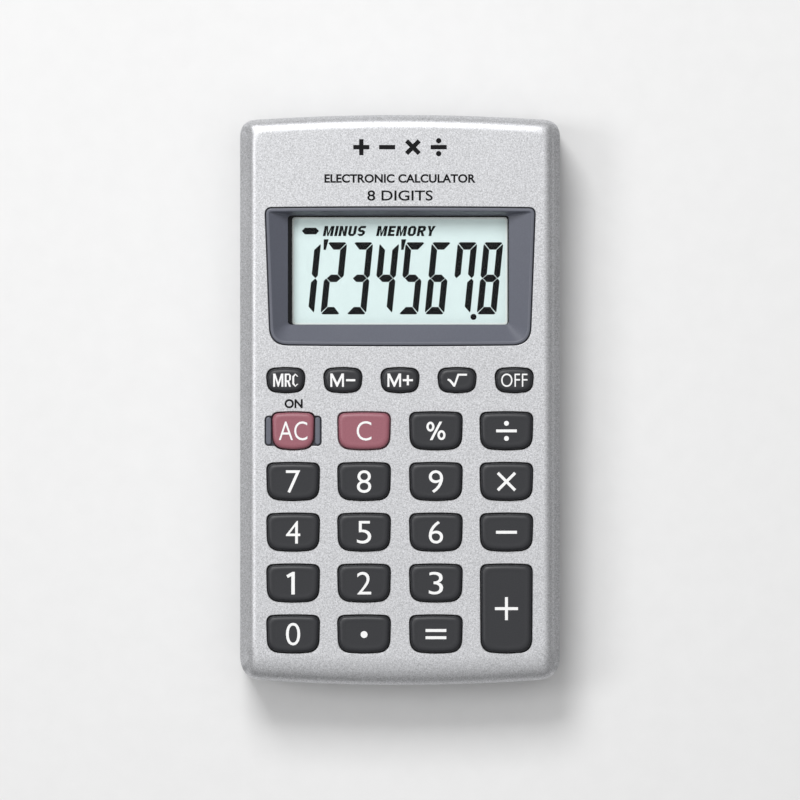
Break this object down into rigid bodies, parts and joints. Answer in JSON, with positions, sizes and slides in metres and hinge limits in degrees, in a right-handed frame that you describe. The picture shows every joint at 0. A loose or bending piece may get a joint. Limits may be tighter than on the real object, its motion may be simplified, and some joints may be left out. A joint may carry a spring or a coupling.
{
  "type": "pocket calculator",
  "caption": "Battery-powered pocket calculator with a recessed liquid crystal display, moving oval and oblong keys, and a sliding battery cover.",
  "frame": {"origin": "middle of the flat back, on the surface that the calculator lies on", "axes": "+X to the right of the keys, +Y towards the display end, +Z out of the face"},
  "size_m": [0.0694, 0.124, 0.0184],
  "materials": {
    "silver_paint": "silver metallic paint with a fine speckle",
    "rear_plastic": "finely textured moulded plastic",
    "grey_plastic": "satin moulded plastic",
    "clear_window": "clear polished plate",
    "polariser_film": "grey-green film",
    "lcd_glass": "clear glass",
    "connector_rubber": "layered conductive rubber",
    "board_laminate": "phenolic laminate with a lacquer",
    "black_resin": "glossy black resin",
    "capacitor_body": "dipped ceramic",
    "silicone": "soft moulded silicone",
    "cell_jacket": "printed metallised jacket with bare steel ends",
    "plated_steel": "nickel plate",
    "screw_steel": "zinc plate",
    "red_insulation": "wire insulation",
    "black_insulation": "wire insulation",
    "key_dark": "satin moulded plastic",
    "key_maroon": "satin moulded plastic"
  },
  "bodies": {
    "case": {"front_cover": "silver_paint", "rear_cover": "rear_plastic", "display_bezel": "grey_plastic", "ac_key_guard": "grey_plastic", "display_window": "clear_window", "front_polariser": "polariser_film", "rear_reflector": "polariser_film", "lcd_front_glass": "lcd_glass", "lcd_rear_glass": "lcd_glass", "zebra_strip": "connector_rubber", "circuit_board": "board_laminate", "chip_resin": "black_resin", "timing_resistor": "black_resin", "filter_capacitor": "capacitor_body", "keypad_mat": "silicone", "battery_cell": "cell_jacket", "positive_contact": "plated_steel", "negative_contact": "plated_steel", "negative_spring": "plated_steel", "red_wire": "red_insulation", "black_wire": "black_insulation", "case_screw_1": "screw_steel", "case_screw_2": "screw_steel", "case_screw_3": "screw_steel", "case_screw_4": "screw_steel", "board_screw_1": "screw_steel", "board_screw_2": "screw_steel", "board_screw_3": "screw_steel", "board_screw_4": "screw_steel", "board_screw_5": "screw_steel", "board_screw_6": "screw_steel"},
    "battery_cover": {"battery_cover": "rear_plastic"},
    "key_mrc": {"key_mrc": "key_dark"},
    "key_m_minus": {"key_m_minus": "key_dark"},
    "key_m_plus": {"key_m_plus": "key_dark"},
    "key_sqrt": {"key_sqrt": "key_dark"},
    "key_off": {"key_off": "key_dark"},
    "key_ac": {"key_ac": "key_maroon"},
    "key_c": {"key_c": "key_maroon"},
    "key_percent": {"key_percent": "key_dark"},
    "key_divide": {"key_divide": "key_dark"},
    "key_7": {"key_7": "key_dark"},
    "key_8": {"key_8": "key_dark"},
    "key_9": {"key_9": "key_dark"},
    "key_multiply": {"key_multiply": "key_dark"},
    "key_4": {"key_4": "key_dark"},
    "key_5": {"key_5": "key_dark"},
    "key_6": {"key_6": "key_dark"},
    "key_minus": {"key_minus": "key_dark"},
    "key_1": {"key_1": "key_dark"},
    "key_2": {"key_2": "key_dark"},
    "key_3": {"key_3": "key_dark"},
    "key_0": {"key_0": "key_dark"},
    "key_point": {"key_point": "key_dark"},
    "key_equals": {"key_equals": "key_dark"},
    "key_plus": {"key_plus": "key_dark"}
  },
  "joints": [
    {"name": "battery_cover_slide", "type": "slide", "parent": "case", "child": "battery_cover", "axis": [0, 1, 0], "range_m": [0, 0.022]},
    {"name": "key_mrc_press", "type": "slide", "parent": "case", "child": "key_mrc", "axis": [0, 0, -1], "range_m": [0, 0.0009], "stiffness_N_per_m": 900, "springref_m": -0.0003, "deforming": ["keypad_mat"]},
    {"name": "key_m_minus_press", "type": "slide", "parent": "case", "child": "key_m_minus", "axis": [0, 0, -1], "range_m": [0, 0.0009], "stiffness_N_per_m": 900, "springref_m": -0.0003, "deforming": ["keypad_mat"]},
    {"name": "key_m_plus_press", "type": "slide", "parent": "case", "child": "key_m_plus", "axis": [0, 0, -1], "range_m": [0, 0.0009], "stiffness_N_per_m": 900, "springref_m": -0.0003, "deforming": ["keypad_mat"]},
    {"name": "key_sqrt_press", "type": "slide", "parent": "case", "child": "key_sqrt", "axis": [0, 0, -1], "range_m": [0, 0.0009], "stiffness_N_per_m": 900, "springref_m": -0.0003, "deforming": ["keypad_mat"]},
    {"name": "key_off_press", "type": "slide", "parent": "case", "child": "key_off", "axis": [0, 0, -1], "range_m": [0, 0.0009], "stiffness_N_per_m": 900, "springref_m": -0.0003, "deforming": ["keypad_mat"]},
    {"name": "key_ac_press", "type": "slide", "parent": "case", "child": "key_ac", "axis": [0, 0, -1], "range_m": [0, 0.0009], "stiffness_N_per_m": 900, "springref_m": -0.0003, "deforming": ["keypad_mat"]},
    {"name": "key_c_press", "type": "slide", "parent": "case", "child": "key_c", "axis": [0, 0, -1], "range_m": [0, 0.0009], "stiffness_N_per_m": 900, "springref_m": -0.0003, "deforming": ["keypad_mat"]},
    {"name": "key_percent_press", "type": "slide", "parent": "case", "child": "key_percent", "axis": [0, 0, -1], "range_m": [0, 0.0009], "stiffness_N_per_m": 900, "springref_m": -0.0003, "deforming": ["keypad_mat"]},
    {"name": "key_divide_press", "type": "slide", "parent": "case", "child": "key_divide", "axis": [0, 0, -1], "range_m": [0, 0.0009], "stiffness_N_per_m": 900, "springref_m": -0.0003, "deforming": ["keypad_mat"]},
    {"name": "key_7_press", "type": "slide", "parent": "case", "child": "key_7", "axis": [0, 0, -1], "range_m": [0, 0.0009], "stiffness_N_per_m": 900, "springref_m": -0.0003, "deforming": ["keypad_mat"]},
    {"name": "key_8_press", "type": "slide", "parent": "case", "child": "key_8", "axis": [0, 0, -1], "range_m": [0, 0.0009], "stiffness_N_per_m": 900, "springref_m": -0.0003, "deforming": ["keypad_mat"]},
    {"name": "key_9_press", "type": "slide", "parent": "case", "child": "key_9", "axis": [0, 0, -1], "range_m": [0, 0.0009], "stiffness_N_per_m": 900, "springref_m": -0.0003, "deforming": ["keypad_mat"]},
    {"name": "key_multiply_press", "type": "slide", "parent": "case", "child": "key_multiply", "axis": [0, 0, -1], "range_m": [0, 0.0009], "stiffness_N_per_m": 900, "springref_m": -0.0003, "deforming": ["keypad_mat"]},
    {"name": "key_4_press", "type": "slide", "parent": "case", "child": "key_4", "axis": [0, 0, -1], "range_m": [0, 0.0009], "stiffness_N_per_m": 900, "springref_m": -0.0003, "deforming": ["keypad_mat"]},
    {"name": "key_5_press", "type": "slide", "parent": "case", "child": "key_5", "axis": [0, 0, -1], "range_m": [0, 0.0009], "stiffness_N_per_m": 900, "springref_m": -0.0003, "deforming": ["keypad_mat"]},
    {"name": "key_6_press", "type": "slide", "parent": "case", "child": "key_6", "axis": [0, 0, -1], "range_m": [0, 0.0009], "stiffness_N_per_m": 900, "springref_m": -0.0003, "deforming": ["keypad_mat"]},
    {"name": "key_minus_press", "type": "slide", "parent": "case", "child": "key_minus", "axis": [0, 0, -1], "range_m": [0, 0.0009], "stiffness_N_per_m": 900, "springref_m": -0.0003, "deforming": ["keypad_mat"]},
    {"name": "key_1_press", "type": "slide", "parent": "case", "child": "key_1", "axis": [0, 0, -1], "range_m": [0, 0.0009], "stiffness_N_per_m": 900, "springref_m": -0.0003, "deforming": ["keypad_mat"]},
    {"name": "key_2_press", "type": "slide", "parent": "case", "child": "key_2", "axis": [0, 0, -1], "range_m": [0, 0.0009], "stiffness_N_per_m": 900, "springref_m": -0.0003, "deforming": ["keypad_mat"]},
    {"name": "key_3_press", "type": "slide", "parent": "case", "child": "key_3", "axis": [0, 0, -1], "range_m": [0, 0.0009], "stiffness_N_per_m": 900, "springref_m": -0.0003, "deforming": ["keypad_mat"]},
    {"name": "key_0_press", "type": "slide", "parent": "case", "child": "key_0", "axis": [0, 0, -1], "range_m": [0, 0.0009], "stiffness_N_per_m": 900, "springref_m": -0.0003, "deforming": ["keypad_mat"]},
    {"name": "key_point_press", "type": "slide", "parent": "case", "child": "key_point", "axis": [0, 0, -1], "range_m": [0, 0.0009], "stiffness_N_per_m": 900, "springref_m": -0.0003, "deforming": ["keypad_mat"]},
    {"name": "key_equals_press", "type": "slide", "parent": "case", "child": "key_equals", "axis": [0, 0, -1], "range_m": [0, 0.0009], "stiffness_N_per_m": 900, "springref_m": -0.0003, "deforming": ["keypad_mat"]},
    {"name": "key_plus_press", "type": "slide", "parent": "case", "child": "key_plus", "axis": [0, 0, -1], "range_m": [0, 0.0009], "stiffness_N_per_m": 900, "springref_m": -0.0003, "deforming": ["keypad_mat"]}
  ]
}
